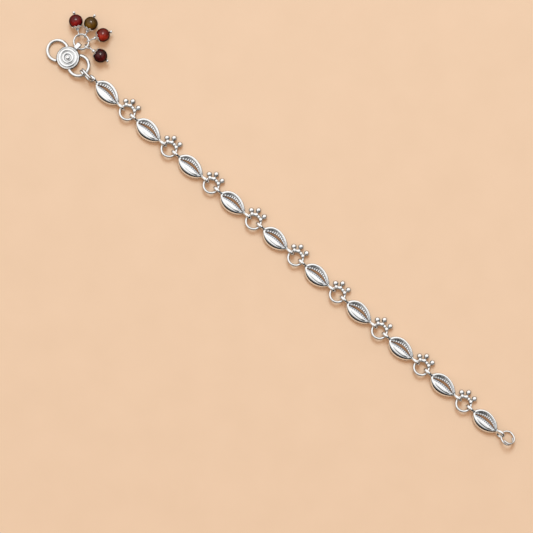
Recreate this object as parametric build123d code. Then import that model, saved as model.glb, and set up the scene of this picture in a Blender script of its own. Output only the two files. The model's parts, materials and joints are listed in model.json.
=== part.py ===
"""Payal anklet laid out open and straight: ten pierced cowrie links joined by nine granulated
flower rings, an S-hook with a stepped disc, and a ring of four bead charms.

Millimetres. +X runs along the chain from the S-hook to the end ring, +Y is the side of the charms
and granules, +Z is up. The origin is the middle of the bottom of the whole anklet's box.
"""
import os
from math import atan2, cos, degrees, radians, sin, sqrt

from build123d import *

# Chain
LINK_COUNT = 10
LINK_PITCH = 24.3
LAY_OFFSETS = (0.0, -0.6, -0.45, -0.4, 0.0, -0.2, -0.3, -0.2, -0.2, 0.0)  # sideways lie of each cowrie
FIRST_LINK_YAW = -4.0
CLEARANCE = 0.1

# Cowrie link: one level per row, from the flat underside to the crest of the wide lip
COWRIE_LEVELS = (
    # height, half length, side of the rim, side of the dome
    (0.0, 6.40, 4.00, -4.00),
    (0.8, 6.60, 4.20, -4.20),
    (1.8, 6.35, 4.00, -3.95),
    (2.7, 5.60, 3.45, -3.40),
    (3.3, 4.60, 2.00, -2.75),
    (3.75, 3.20, -0.40, -1.90),
)
RIM_APEX_X = -0.4
DOME_APEX_X = -1.1
TIP_BOSS_RADIUS = 0.8
TIP_BOSS_X = 6.3
TIP_BOSS_Z = 1.95

# Slot between the lips, and the ribbed trough above it
SLOT_LEFT = (-5.2, -0.3)
SLOT_RIGHT = (5.3, 0.15)
SLOT_RIM_Y = 1.5
SLOT_DOME_Y = 0.4
TROUGH_FLOOR_Z = 1.25
TROUGH_TOP_Z = 4.0
TROUGH_END_GROWTH = 0.5
TROUGH_RIM_GROWTH = 2.6
TROUGH_DOME_GROWTH = -1.7
RIBS_PER_LIP = 11
RIB_DEPTH = 0.13

# Upright loop soldered to each tip of a cowrie
LOOP_RADIUS = 1.75
LOOP_WIRE = 0.95
LOOP_X = 8.6
LOOP_Z = 2.4
FIRST_LOOP_LEAN = -13.0
LAST_LOOP_LEAN = 32.0

# Flower ring: a round ring with three prongs, each an inner granule and an outer ball
FLOWER_RADIUS = 3.2
FLOWER_WIRE = 1.0
FLOWER_Z = 1.86
FLOWER_TILT = -11.0
PRONG_ANGLES = (140.0, 101.0, 62.0)
GRANULE_RADIUS = 0.7
GRANULE_REACH = 3.75
BALL_RADIUS = 0.82
BALL_REACH = 5.2

# S-hook, its disc and its bail
HOOK_X = -23.5
HOOK_Y = 0.3
HOOK_TURN = 5.0
HOOK_TILT = 4.7
HOOK_WIRE = 1.45
HOOK_LOOP_RADIUS = 4.5
HOOK_LOOP_X = 5.7
HOOK_END_ANGLE = 110.0
HOOK_LIFT = (HOOK_LOOP_X + HOOK_LOOP_RADIUS) * sin(radians(HOOK_TILT))
DISC_RADIUS = 4.97
DISC_BASE_Z = 1.1
DISC_EDGE_HEIGHT = 0.45
DISC_STEPS = (
    # inner radius, crest radius, height at the crest, height at the inner edge
    (4.20, 4.58, 0.95, 0.60),
    (2.95, 3.55, 1.15, 0.75),
    (1.35, 2.10, 1.50, 0.80),
)
DISC_GRANULE_RADIUS = 0.8
DISC_GRANULE_Z = 1.0
BAIL_WIDTH = 1.9
BAIL_WALL = 0.5
BAIL_LENGTH = 3.7
BAIL_HEIGHT = 2.3
BAIL_Y = 6.5
BAIL_Z = 1.95

# Wire rings of one and a half turns: the hook ring and the end ring
LAP_WIRE = 0.8
LAP_SPACING = 1.2
LAP_START = 100.0
HOOK_RING_RADIUS = 2.35
HOOK_RING_STRAIGHT = 1.6
HOOK_RING_LEAN = 13.0
HOOK_RING_YAW = 4.0
HOOK_RING_X = -12.05
HOOK_RING_Y = 0.6
END_RING_RADIUS = 2.85
END_RING_STRAIGHT = 0.4
END_RING_SLOPE = -38.0
END_RING_TURN = 155.0
END_RING_X = 12.2
END_RING_Y = 0.9

# Charm ring, and the four charms: a bead, its cap, and the head pin that holds both
CHARM_RING_RADIUS = 3.25
CHARM_RING_WIRE = 0.85
CHARM_RING_Y = 9.0
CHARM_RING_Z = BAIL_Z + HOOK_LIFT
BEAD_RADIUS = 3.0
BEAD_HOLE = 0.85
PIN_WIRE = 0.6
PIN_BALL_RADIUS = 0.55
PIN_BALL_REACH = 3.85
EYE_OFFSET = 0.1
CAP_LENGTH = 1.95
CAP_NECK_RADIUS = 0.75
CAP_MOUTH_RADIUS = 2.05
CAP_GAP = 0.08
CAP_WALL = 0.35
CHARMS = (
    # place round the ring, bead's X and Y from the disc, eye radius, eye's lean
    (150.0, (-7.45, 14.15), 0.95, 0.0),
    (98.0, (-1.75, 17.95), 0.95, 0.0),
    (50.0, (5.15, 17.40), 1.0, 12.0),
    (4.0, (10.50, 9.85), 1.15, 40.0),
)


def round_wire(path, diameter):
    """Round wire whose centre line is the given path."""
    section = Plane(origin=path @ 0, z_dir=path % 0) * Circle(diameter / 2)
    return sweep(section, path=path)


def almond(half_length, rim_y, dome_y):
    """Almond face between two tips: each side is two arcs that meet at its apex."""
    left, right = (-half_length, 0), (half_length, 0)
    rim_apex, dome_apex = (RIM_APEX_X, rim_y), (DOME_APEX_X, dome_y)
    edges = [
        TangentArc(rim_apex, left, tangent=(-1, 0)),
        TangentArc(rim_apex, right, tangent=(1, 0)),
        TangentArc(dome_apex, right, tangent=(1, 0)),
        TangentArc(dome_apex, left, tangent=(-1, 0)),
    ]
    return make_face(edges)


def cowrie_body():
    """Domed almond, lofted through its levels."""
    levels = [
        Pos(0, 0, height) * almond(half_length, rim_y, dome_y)
        for height, half_length, rim_y, dome_y in COWRIE_LEVELS
    ]
    return loft(levels)


def arc_point(start, apex_y, end, fraction):
    """Point at a fraction of the way along a shallow bow from start to end."""
    x = start[0] + (end[0] - start[0]) * fraction
    chord_y = start[1] + (end[1] - start[1]) * fraction
    bow = apex_y - (start[1] + end[1]) / 2
    return (x, chord_y + bow * 4 * fraction * (1 - fraction))


def scalloped_side(start, apex_y, end, outward):
    """Row of small arcs along a bow, one for each rib's groove."""
    arcs = []
    for rib in range(RIBS_PER_LIP):
        first = arc_point(start, apex_y, end, rib / RIBS_PER_LIP)
        last = arc_point(start, apex_y, end, (rib + 1) / RIBS_PER_LIP)
        middle = arc_point(start, apex_y, end, (rib + 0.5) / RIBS_PER_LIP)
        arcs.append(ThreePointArc(first, (middle[0], middle[1] + outward * RIB_DEPTH), last))
    return arcs


def trough_outline(growth):
    """Outline of the trough: growth 0 is the slot's own edge, 1 is the trough's mouth."""
    left = (SLOT_LEFT[0] - TROUGH_END_GROWTH * growth, SLOT_LEFT[1])
    right = (SLOT_RIGHT[0] + TROUGH_END_GROWTH * growth, SLOT_RIGHT[1])
    rim = scalloped_side(left, SLOT_RIM_Y + TROUGH_RIM_GROWTH * growth, right, 1)
    dome = scalloped_side(left, SLOT_DOME_Y + TROUGH_DOME_GROWTH * growth, right, -1)
    return make_face(rim + dome)


def cowrie_trough():
    """What is cut from the cowrie: the slot right through, and the ribbed trough above it."""
    slot = extrude(Pos(0, 0, TROUGH_FLOOR_Z) * trough_outline(0), amount=-2 * TROUGH_FLOOR_Z)
    floor = Pos(0, 0, TROUGH_FLOOR_Z) * trough_outline(0)
    mouth = Pos(0, 0, TROUGH_TOP_Z) * trough_outline(1)
    return slot + loft([floor, mouth], ruled=True)


def tip_loop(side, lean):
    """Upright loop and the boss that solders it to one tip; side is -1 or 1 along X."""
    loop = Pos(side * LOOP_X, 0, LOOP_Z) * Rot(90 - lean, 0, 0) * Torus(LOOP_RADIUS, LOOP_WIRE / 2)
    boss = Pos(side * TIP_BOSS_X, 0, TIP_BOSS_Z) * Sphere(TIP_BOSS_RADIUS)
    return loop + boss


def cowrie_link(left_lean=0.0, right_lean=0.0):
    """Cast cowrie with its slot, ribs and two loops."""
    shell = cowrie_body() - cowrie_trough()
    return (shell + tip_loop(-1, left_lean) + tip_loop(1, right_lean)).solid()


def flower_ring():
    """Ring with three granulated prongs on its +Y side; each ball's poles lie along its prong."""
    ring = Rot(0, 0, -90) * Torus(FLOWER_RADIUS, FLOWER_WIRE / 2)
    for angle in PRONG_ANGLES:
        prong = Rot(0, 0, angle)
        ring += prong * Pos(GRANULE_REACH, 0, 0) * Rot(0, 90, 0) * Sphere(GRANULE_RADIUS)
        ring += prong * Pos(BALL_REACH, 0, 0) * Rot(0, 90, 0) * Sphere(BALL_RADIUS)
    return ring.solid()


def hook_wire():
    """S of two open loops, with a straight run across the middle."""
    leave_angle = degrees(atan2(sqrt(HOOK_LOOP_X**2 - HOOK_LOOP_RADIUS**2), HOOK_LOOP_RADIUS))
    turn = HOOK_END_ANGLE + 360 - (leave_angle + 180)
    left = CenterArc((-HOOK_LOOP_X, 0), HOOK_LOOP_RADIUS, leave_angle + turn, -turn)
    right = CenterArc((HOOK_LOOP_X, 0), HOOK_LOOP_RADIUS, leave_angle + 180, turn)
    across = Line(left @ 1, right @ 0)
    return Pos(0, 0, HOOK_WIRE / 2) * round_wire(Wire([left, across, right]), HOOK_WIRE)


def hook_disc():
    """Stepped round disc: a rim, two raised bands and a granule in the middle."""
    outline = [Line((0, 0), (DISC_RADIUS, 0)), Line((DISC_RADIUS, 0), (DISC_RADIUS, DISC_EDGE_HEIGHT))]
    edge = (DISC_RADIUS, DISC_EDGE_HEIGHT)
    for inner_radius, crest_radius, crest_height, inner_height in DISC_STEPS:
        inner = (inner_radius, inner_height)
        outline.append(ThreePointArc(edge, (crest_radius, crest_height), inner))
        edge = inner
    outline.append(Line(edge, (0, edge[1])))
    outline.append(Line((0, edge[1]), (0, 0)))
    profile = make_face(outline)
    disc = revolve(Plane.XZ * profile, axis=Axis.Z)
    granule = Pos(0, 0, DISC_GRANULE_Z) * Sphere(DISC_GRANULE_RADIUS)
    return Pos(0, 0, DISC_BASE_Z) * (disc + granule)


def hook_bail():
    """Flattened strip loop on the disc's edge, which the charm ring passes through."""
    outer = SlotOverall(BAIL_LENGTH, BAIL_HEIGHT)
    inner = SlotOverall(BAIL_LENGTH - 2 * BAIL_WALL, BAIL_HEIGHT - 2 * BAIL_WALL)
    strip = extrude(outer - inner, amount=BAIL_WIDTH / 2, both=True)
    return Pos(0, BAIL_Y, BAIL_Z) * Rot(0, 90, 0) * Rot(0, 0, 90) * strip


def s_hook():
    """Soldered S-hook, disc and bail, tilted so that its chain end rides over the hook ring."""
    wire_and_disc = Rot(0, 0, HOOK_TURN) * (hook_wire() + hook_disc())
    hook = Rot(0, -HOOK_TILT, 0) * (wire_and_disc + hook_bail())
    return (Pos(HOOK_X, HOOK_Y, HOOK_LIFT) * hook).solid()


def lapped_ring(radius, straight):
    """Oval ring of one and a half turns in XY: its -X half is double, its +X half crosses over."""
    half_gap = LAP_SPACING / 2
    shift = straight / 2
    lap_turn = 270 - LAP_START
    upper_arc = CenterArc((-shift, 0, half_gap), radius, LAP_START, lap_turn)
    upper_run = Line((-shift, -radius, half_gap), (shift, -radius, half_gap))
    cross_middle = (shift + sqrt(radius**2 + half_gap**2), 0, 0)
    crossing = ThreePointArc((shift, -radius, half_gap), cross_middle, (shift, radius, -half_gap))
    lower_run = Line((shift, radius, -half_gap), (-shift, radius, -half_gap))
    lower_arc = CenterArc((-shift, 0, -half_gap), radius, 90, lap_turn)
    path = Wire([upper_arc, upper_run, crossing, lower_run, lower_arc])
    return round_wire(path, LAP_WIRE)


def rest_on_floor(shape, x, y):
    """Shape moved to a place in plan with its lowest point just on the floor."""
    return Pos(x, y, CLEARANCE / 2 - shape.bounding_box().min.Z) * shape


def hook_ring():
    """Upright lapped ring between the S-hook and the first cowrie."""
    upright = Rot(90 - HOOK_RING_LEAN, 0, 0) * lapped_ring(HOOK_RING_RADIUS, HOOK_RING_STRAIGHT)
    ring = Rot(0, 0, HOOK_RING_YAW) * upright
    return rest_on_floor(ring, HOOK_RING_X, HOOK_RING_Y).solid()


def end_ring(last_link_x):
    """Sloping lapped ring at the far end, which the S-hook closes on."""
    flat = Rot(0, 0, END_RING_TURN) * lapped_ring(END_RING_RADIUS, END_RING_STRAIGHT)
    ring = Rot(END_RING_SLOPE, 0, 0) * flat
    return rest_on_floor(ring, last_link_x + END_RING_X, END_RING_Y).solid()


def charm_ring():
    """Round ring that hangs in the bail and carries the charms."""
    ring = Torus(CHARM_RING_RADIUS, CHARM_RING_WIRE / 2)
    return (Pos(HOOK_X, HOOK_Y + CHARM_RING_Y, CHARM_RING_Z) * ring).solid()


def charm_plane(place, bead_at):
    """Plane on a charm's ring point: its Z runs along the pin towards the bead, its X stays level."""
    start = Vector(
        HOOK_X + CHARM_RING_RADIUS * cos(radians(place)),
        HOOK_Y + CHARM_RING_Y + CHARM_RING_RADIUS * sin(radians(place)),
        CHARM_RING_Z,
    )
    bead = Vector(HOOK_X + bead_at[0], HOOK_Y + bead_at[1], BEAD_RADIUS + CLEARANCE / 2)
    along = (bead - start).normalized()
    level = Vector(-along.Y, along.X, 0).normalized()
    return Plane(origin=start, x_dir=level, z_dir=along), (bead - start).length


def charm_bead(reach):
    """Round bead drilled along the pin."""
    bead = Sphere(BEAD_RADIUS) - Cylinder(BEAD_HOLE / 2, 3 * BEAD_RADIUS)
    return (Pos(0, 0, reach) * bead).solid()


def charm_cap(reach):
    """Flared cap that sits on the bead's near side."""
    neck_z = reach - BEAD_RADIUS - CAP_LENGTH + (BEAD_RADIUS - sqrt(BEAD_RADIUS**2 - CAP_MOUTH_RADIUS**2))
    seat_radius = BEAD_RADIUS + CAP_GAP
    mouth_z = neck_z + CAP_LENGTH
    inner = Pos(0, 0, reach) * Sphere(seat_radius)
    side_mid = ((CAP_NECK_RADIUS + CAP_MOUTH_RADIUS) / 2 - CAP_WALL, (neck_z + mouth_z) / 2)
    outline = [
        Line((0, neck_z), (CAP_NECK_RADIUS, neck_z)),
        ThreePointArc((CAP_NECK_RADIUS, neck_z), side_mid, (CAP_MOUTH_RADIUS, mouth_z)),
        Line((CAP_MOUTH_RADIUS, mouth_z), (0, mouth_z)),
        Line((0, mouth_z), (0, neck_z)),
    ]
    flare = revolve(Plane.XZ * make_face(outline), axis=Axis.Z)
    bore = Pos(0, 0, reach) * Cylinder(BEAD_HOLE / 2, 4 * BEAD_RADIUS)
    return (flare - inner - bore).solid()


def charm_pin(reach, eye_radius, eye_lean):
    """Head pin: a ball tip, a shank through the bead and cap, and an eye round the charm ring."""
    eye = Pos(0, 0, EYE_OFFSET) * Rot(0, 0, eye_lean) * Rot(0, 90, 0) * Torus(eye_radius, PIN_WIRE / 2)
    shank_start = EYE_OFFSET + eye_radius
    shank_length = reach + PIN_BALL_REACH - shank_start
    shank = Pos(0, 0, shank_start + shank_length / 2) * Cylinder(PIN_WIRE / 2, shank_length)
    ball = Pos(0, 0, reach + PIN_BALL_REACH) * Sphere(PIN_BALL_RADIUS)
    return (eye + shank + ball).solid()


def link_places():
    """Location of each cowrie along the chain."""
    places = []
    for index in range(LINK_COUNT):
        before, after = max(index - 1, 0), min(index + 1, LINK_COUNT - 1)
        rise = LAY_OFFSETS[after] - LAY_OFFSETS[before]
        yaw = degrees(atan2(rise, (after - before) * LINK_PITCH))
        if index == 0:
            yaw = FIRST_LINK_YAW
        places.append(Location((index * LINK_PITCH, LAY_OFFSETS[index], 0), (0, 0, yaw)))
    return places


def ring_places():
    """Location of each flower ring, midway between two cowries."""
    places = []
    for index in range(LINK_COUNT - 1):
        rise = LAY_OFFSETS[index + 1] - LAY_OFFSETS[index]
        middle_y = LAY_OFFSETS[index] + rise / 2
        yaw = degrees(atan2(rise, LINK_PITCH))
        turned = Location(((index + 0.5) * LINK_PITCH, middle_y, FLOWER_Z), (0, 0, yaw))
        places.append(turned * Rot(FLOWER_TILT, 0, 0))
    return places


def build_nodes():
    """Every piece of the anklet by name, in the working frame of the first cowrie."""
    nodes = {}
    plain_link = cowrie_link()
    for index, place in enumerate(link_places()):
        link = plain_link
        if index == 0:
            link = cowrie_link(left_lean=FIRST_LOOP_LEAN)
        if index == LINK_COUNT - 1:
            link = cowrie_link(right_lean=LAST_LOOP_LEAN)
        nodes[f"cowrie_link_{index + 1:02d}"] = place * link
    ring = flower_ring()
    for index, place in enumerate(ring_places()):
        nodes[f"flower_ring_{index + 1:02d}"] = place * ring
    nodes["s_hook"] = s_hook()
    nodes["hook_ring"] = hook_ring()
    nodes["end_ring"] = end_ring((LINK_COUNT - 1) * LINK_PITCH)
    nodes["charm_ring"] = charm_ring()
    for index, (place, bead_at, eye_radius, eye_lean) in enumerate(CHARMS, start=1):
        plane, reach = charm_plane(place, bead_at)
        nodes[f"bead_{index}"] = plane.location * charm_bead(reach)
        nodes[f"bead_cap_{index}"] = plane.location * charm_cap(reach)
        nodes[f"head_pin_{index}"] = plane.location * charm_pin(reach, eye_radius, eye_lean)
    return nodes


def centred(nodes):
    """The same pieces moved so that the origin is the middle of the bottom of their box."""
    box = Compound(children=[shape.solid() for shape in nodes.values()]).bounding_box()
    middle = box.center()
    return {name: Pos(-middle.X, -middle.Y, -box.min.Z) * shape for name, shape in nodes.items()}


os.makedirs("parts", exist_ok=True)
for node_name, node_shape in centred(build_nodes()).items():
    export_step(node_shape, f"parts/{node_name}.step")
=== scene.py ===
"""Payal anklet on a plain peach board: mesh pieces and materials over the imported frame.

Shapes are worked out in millimetres in the working frame of the first cowrie, then moved into the
row's frame. +X runs along the chain, +Y is the side of the charms, +Z is up. Named angles are in
degrees. Floor, lights and bump are in metres, and texture scales are per metre.
"""

import json
from math import atan2, cos, degrees, pi, radians, sin, sqrt

import bpy
import numpy as np
from mathutils import Euler, Matrix, Vector

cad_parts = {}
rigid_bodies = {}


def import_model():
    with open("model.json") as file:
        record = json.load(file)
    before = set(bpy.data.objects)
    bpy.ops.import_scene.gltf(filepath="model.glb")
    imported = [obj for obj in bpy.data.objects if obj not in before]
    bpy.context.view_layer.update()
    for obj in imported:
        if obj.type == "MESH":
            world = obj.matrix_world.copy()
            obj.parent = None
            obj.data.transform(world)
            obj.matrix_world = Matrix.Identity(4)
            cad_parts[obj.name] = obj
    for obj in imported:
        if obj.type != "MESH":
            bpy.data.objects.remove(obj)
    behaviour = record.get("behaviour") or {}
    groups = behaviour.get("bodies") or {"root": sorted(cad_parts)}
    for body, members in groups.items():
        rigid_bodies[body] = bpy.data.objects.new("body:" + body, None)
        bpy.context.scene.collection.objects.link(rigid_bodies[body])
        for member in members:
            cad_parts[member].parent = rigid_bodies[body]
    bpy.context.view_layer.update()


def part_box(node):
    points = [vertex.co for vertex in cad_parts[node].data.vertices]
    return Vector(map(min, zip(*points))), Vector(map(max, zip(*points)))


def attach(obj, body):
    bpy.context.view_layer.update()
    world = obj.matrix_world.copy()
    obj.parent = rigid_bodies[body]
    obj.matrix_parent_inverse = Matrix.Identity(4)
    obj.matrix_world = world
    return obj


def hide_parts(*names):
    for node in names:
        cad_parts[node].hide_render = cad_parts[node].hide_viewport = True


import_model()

MM = 0.001

# Chain: spacing along X, each cowrie's Y, and the turn of the first one
LINK_COUNT = 10
LINK_PITCH = 24.3
LAY_OFFSETS = (0.0, -0.6, -0.45, -0.4, 0.0, -0.2, -0.3, -0.2, -0.2, 0.0)
FIRST_LINK_YAW = -4.0
CLEARANCE = 0.1

# Cowrie link: an outline is its apex's X and Y, then how pointed its left and right end are
LEFT_END = -6.7
RIGHT_END = 6.9
END_ROUND = 0.8
END_INSET = 0.1
RIM_OUTLINE = (-0.8, 4.13, 0.60, 0.73)
DOME_OUTLINE = (-0.5, 4.30, 0.61, 0.62)
TAPER_LENGTH = 7.0
RIM_CREST_Z = 3.45
RIM_TIP_Z = 2.6
DOME_CREST_Z = 3.25
DOME_TIP_Z = 1.3
FOOT_Z = 0.9
FOOT_TUCK = 0.06
RIM_ROLL = 0.62
ROLL_SHARE = 0.6
ROLL_LEAST = 0.05
DOME_CREST_SHARE = 0.38
TIP_BOSS_RADIUS = 0.8
TIP_BOSS_X = 6.3
TIP_BOSS_Z = 1.95

# Cowrie's slot, and the ribbed trough round it, whose ends are where its cut begins to fade and where
# it is gone; no width that divides another is taken below the least span
SLOT_LEFT = (-5.3, -0.4)
SLOT_RIGHT = (5.5, -0.05)
SLOT_RIM_Y = 1.55
SLOT_DOME_Y = 0.5
SLOT_SCALLOP = 0.07
SLOT_END_RADII = (0.30, 0.18)
SLOT_END_INSET = 1.1
SLOT_END_FILLET = 0.1
TROUGH_LEFT = (5.2, 6.0)
TROUGH_RIGHT = (5.3, 6.2)
TROUGH_MARGIN = 0.02
TROUGH_CLIMB = 3
LEAST_SPAN = 0.2
STEP_WIDTH = 0.75
STEP_DROP = 0.52
STEP_ARC = 0.96
RIM_LIP_Z = 2.82
DOME_LIP_Z = 2.55
RIB_PITCH = 0.95
RIB_FADE = 0.5
RIM_RIB_DEPTH = 0.08
DOME_RIB_DEPTH = 0.20
RIM_RIB_REACH = 1.1
DOME_RIB_REACH = 1.3

# Cowrie's end loops, its rounded edges, and the box and step of its mesh
LOOP_RADIUS = 1.75
LOOP_WIRE = 1.05
LOOP_WIDTH = 1.4
LOOP_X = 8.6
LOOP_Z = 2.4
FIRST_LOOP_LEAN = 10.0
LAST_LOOP_LEAN = 32.0
BOSS_FILLET = 0.3
LOOP_FILLET = 0.28
TROUGH_EDGE = 0.12
SLOT_EDGE = 0.14
SOLE_EDGE = 0.12
COWRIE_HALF_WIDTH = 4.3
COWRIE_TOP = 4.7
COWRIE_STEP = 0.17

# Flower ring
FLOWER_RADIUS = 3.27
FLOWER_WIRE = 1.06
FLOWER_Z = 2.05
FLOWER_TILT = -8.0
FLOWER_SHIFT = (0.1, -0.38)
PRONGS = (
    # granule's angle round the ring and reach, then the ball's
    (139.5, 3.35, 139.5, 5.10),
    (105.5, 3.30, 105.5, 5.50),
    (54.0, 3.30, 64.5, 5.33),
)
ARC_GRANULES = (122.5, 80.0)
ARC_GRANULE_REACH = 3.1
ARC_GRANULE_RADIUS = 0.84
GRANULE_RADIUS = 1.0
BALL_RADIUS = 1.18
GRANULE_FILLET = 0.14
BALL_FILLET = 0.12
FLOWER_LOW = (-5.1, -3.85, -1.2)
FLOWER_HIGH = (3.85, 6.55, 1.2)
FLOWER_STEP = 0.13

# S-hook, disc and bail
HOOK_X = -22.8
HOOK_Y = 0.3
HOOK_TURN = 5.0
HOOK_TILT = 4.7
HOOK_WIRE = 1.45
HOOK_LOOP_RADIUS = 4.5
HOOK_LOOP_X = 5.7
HOOK_END_ANGLE = 119.0
HOOK_LIFT = (HOOK_LOOP_X + HOOK_LOOP_RADIUS) * sin(radians(HOOK_TILT))
DISC_STEPS = 128
DISC_BASE_Z = 1.1
DISC_PROFILE = (
    # radius, height above the disc's base
    (0.0, 0.0), (4.80, 0.0), (4.97, 0.12), (4.99, 0.40), (4.94, 0.60), (4.82, 0.74), (4.68, 0.76),
    (4.58, 0.66), (4.48, 0.50), (4.36, 0.50), (4.22, 0.70), (4.02, 0.90), (3.76, 1.00), (3.48, 1.03),
    (3.20, 0.96), (3.00, 0.78), (2.88, 0.62), (2.76, 0.62), (2.66, 0.82), (2.50, 1.06), (2.28, 1.20),
    (2.02, 1.25), (1.76, 1.20), (1.56, 1.04), (1.40, 0.84), (1.26, 0.76), (1.10, 0.78), (0.98, 0.88),
    (0.93, 1.04), (0.90, 1.24), (0.80, 1.48), (0.62, 1.66), (0.40, 1.76), (0.20, 1.79), (0.0, 1.80),
)
BAIL_WIDTH = 1.9
BAIL_WALL = 0.5
BAIL_CORNER = 0.2
BAIL_LENGTH = 3.7
BAIL_HEIGHT = 2.3
BAIL_Y = 6.5
BAIL_Z = 1.95

# Rings whose ends lie side by side: radius, straight run, spacing of the ends, and wire; the end
# ring's X is from the last cowrie's middle
LAP_START = 100.0
HOOK_RING = (2.35, 1.6, 1.06, 1.02)
HOOK_RING_LEAN = -2.0
HOOK_RING_YAW = -8.0
HOOK_RING_X = -11.62
HOOK_RING_Y = -0.26
END_RING = (2.85, 0.4, 1.2, 0.8)
END_RING_SLOPE = -38.0
END_RING_TURN = 155.0
END_RING_X = 12.198
END_RING_Y = 0.9

# Charm ring, beads and pins
CHARM_RING_RADIUS = 3.25
CHARM_RING_WIRE = 0.85
CHARM_RING_STEPS = 120
CHARM_RING_SIDES = 20
CHARM_RING_PLACE = (-23.1, 9.45, BAIL_Z + HOOK_LIFT)
BEAD_RADIUS = 2.998
BEAD_HOLE = 0.85
BEAD_ROWS = 57
BEAD_STEPS = 72
HOLE_EASE = 0.12
HOLE_EDGE = (
    # out from the hole's wall, down from its mouth
    (0.03, 0.04), (0.0, 0.14),
)
PIN_WIRE = 0.6
PIN_BALL_RADIUS = 0.72
PIN_BALL_REACH = 3.79
PIN_FILLET = 0.14
PIN_STEP = 0.1
EYE_OFFSET = 0.1
CHARMS = (
    # angle round the ring, bead's X and Y, eye radius, eye's lean
    (150.0, (-30.72, 14.65), 0.95, 0.0),
    (98.0, (-25.09, 18.16), 0.95, 0.0),
    (50.0, (-17.84, 17.90), 1.0, 12.0),
    (4.0, (-12.71, 10.28), 1.15, 40.0),
)

# Bead caps: reaches and depths are from the bead's middle, angles from the pin
CAP_NECK_RADIUS = 0.75
CAP_NECK_REACH = 4.14
CAP_NECK_ROUND = 0.1
BORE_OUT = 0.06
BORE_DOWN = 0.05
BORE_START = 0.999
CAP_BELL = (
    # radius, depth
    (0.82, 3.72), (0.98, 3.36), (1.28, 3.06),
)
CAP_BELL_ANGLE = 30.0
CAP_MOUTH_ANGLE = 48.0
CAP_HOLE_ANGLE = 9.0
CAP_WALL = 0.18
CAP_GAP = 0.08
CAP_STEPS = 96
CAP_PETALS = 8
CAP_NOTCH = 0.5
CAP_FLARE = 0.14
CREASE_DEPTH = 0.14
CREASE_SHARPNESS = 5
PETAL_START = 0.8
SEAT_MARGIN = 0.03
NECK_MARGIN = 0.05

# Silver: its tones over the noise, the noise's scale and detail, and roughness from low to high
SILVER_TONES = ((0.35, (0.93, 0.93, 0.925)), (0.75, (0.87, 0.865, 0.85)))
TARNISH_GRAIN = (900.0, 3.0)
SILVER_GLOSS_GRAIN = (1600.0, 4.0)
WAVE_GRAIN = (700.0, 2.0)
WAVE_STRENGTH = 0.12
WAVE_DEPTH = 0.00006
POLISHED = (0.06, 0.18)
SATIN = (0.20, 0.32)

# Silver's painted shade on the flanks: how far the surface faces up from fully shaded to unshaded, and the
# shaded colour
FLANK_SHADE_SPAN = (0.30, 0.72)
CAST_FLANK_SHADE = (0.66, 0.655, 0.65)
WIRE_FLANK_SHADE = (0.20, 0.20, 0.205)
SATIN_FLANK_SHADE = (0.92, 0.92, 0.925)

# Oxide in the cowries' troughs: its share on the rim's side and the width over which it grows there,
# its reach on the dome's side, then its start and span below the crests and above the floor
OXIDE = (0.55, 0.55, 0.565)
RIM_OXIDE = 0.15
RIM_OXIDE_FADE = 0.3
OXIDE_REACH = 1.3
OXIDE_DEPTH = (0.12, 0.45)
OXIDE_HEIGHT = (1.8, 0.5)

# Stones: dark, main and light colour, and the offset of the mottling
DARK_RED = ((0.030, 0.0010, 0.0008), (0.060, 0.0016, 0.0012), (0.10, 0.004, 0.002), (0, 0, 0))
OLIVE_BROWN = ((0.024, 0.0090, 0.0008), (0.042, 0.0165, 0.0010), (0.058, 0.024, 0.002), (0.3, 0.1, 0))
BRICK_RED = ((0.052, 0.0030, 0.0010), (0.090, 0.0050, 0.0016), (0.135, 0.011, 0.004), (0.7, 0.4, 0.2))
MAROON = ((0.008, 0.0005, 0.0005), (0.018, 0.0009, 0.0008), (0.036, 0.0025, 0.0018), (0.9, 0.8, 0.5))
MOTTLE_GRAIN = (420.0, 5.0)
MOTTLE_DISTORTION = 0.8
MOTTLE_STOPS = (0.32, 0.52, 0.74)
STONE_GLOSS_GRAIN = (1500.0, 3.0)
STONE_GLOSS = (0.20, 0.32)
STONE_IOR = 1.54

# Stones: the side with a painted glow, the painted shade low on the sides, and the shine from face to rim
PAINTED_GLOW_DIRECTION = (0.45, -0.50, 0.55)
PAINTED_GLOW_SPAN = (0.35, 0.95)
PAINTED_GLOW_GAIN = 2.4
STONE_EDGE_SHADE_SPAN = (0.15, 0.75)
STONE_EDGE_SHADE = 0.12
SHINE_SPAN = (0.12, 0.6)
SHINE = (0.22, 0.01)

# Camera over the anklet: the width that it sees, its place over the first cowrie and its turn
VIEW_WIDTH = 233.2
VIEW_X = 102.3
VIEW_Y = -11.63
VIEW_ROLL = 40.97
CAMERA_HEIGHT = 1200.0
SENSOR_WIDTH = 36.0

# Floor
FLOOR_HALF = 3.0
FLOOR_DROP = 0.00002
FLOOR_TONES = ((0.3, (0.458, 0.274, 0.162)), (0.7, (0.470, 0.282, 0.168)))
FIBRE_GRAIN = (60.0, 4.0)

# Studio: brightness by the angle from its axis, and the dark head that leans in
STUDIO_AXIS = (-0.50, 0.38, 1.0)
STUDIO_STRENGTH = 1.15
STUDIO_STOPS = ((88, 0.02), (77, 0.08), (67, 0.5), (55, 1.0))
HEAD_DIRECTION = (0.22, -0.19, 0.956)
HEAD_SPAN = (0.125, 0.375)
HEAD_SHADE = 0.02
LIGHTS = (
    # name, direction, distance, size, radiance, colour, which reflection it lights
    ("key", (-0.5, 0.6, 1.0), 3.0, 1.4, 24.6, (0.61, 1.0, 1.40), "diffuse"),
    ("overhead", (0.0, 0.0, 1.0), 3.0, 0.9, 19.0, (1.19, 1.0, 0.81), "diffuse"),
    ("catch", (-0.34, 0.42, 1.0), 3.0, 0.9, 44.0, (1.0, 0.94, 0.90), "glossy"),
)

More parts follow.
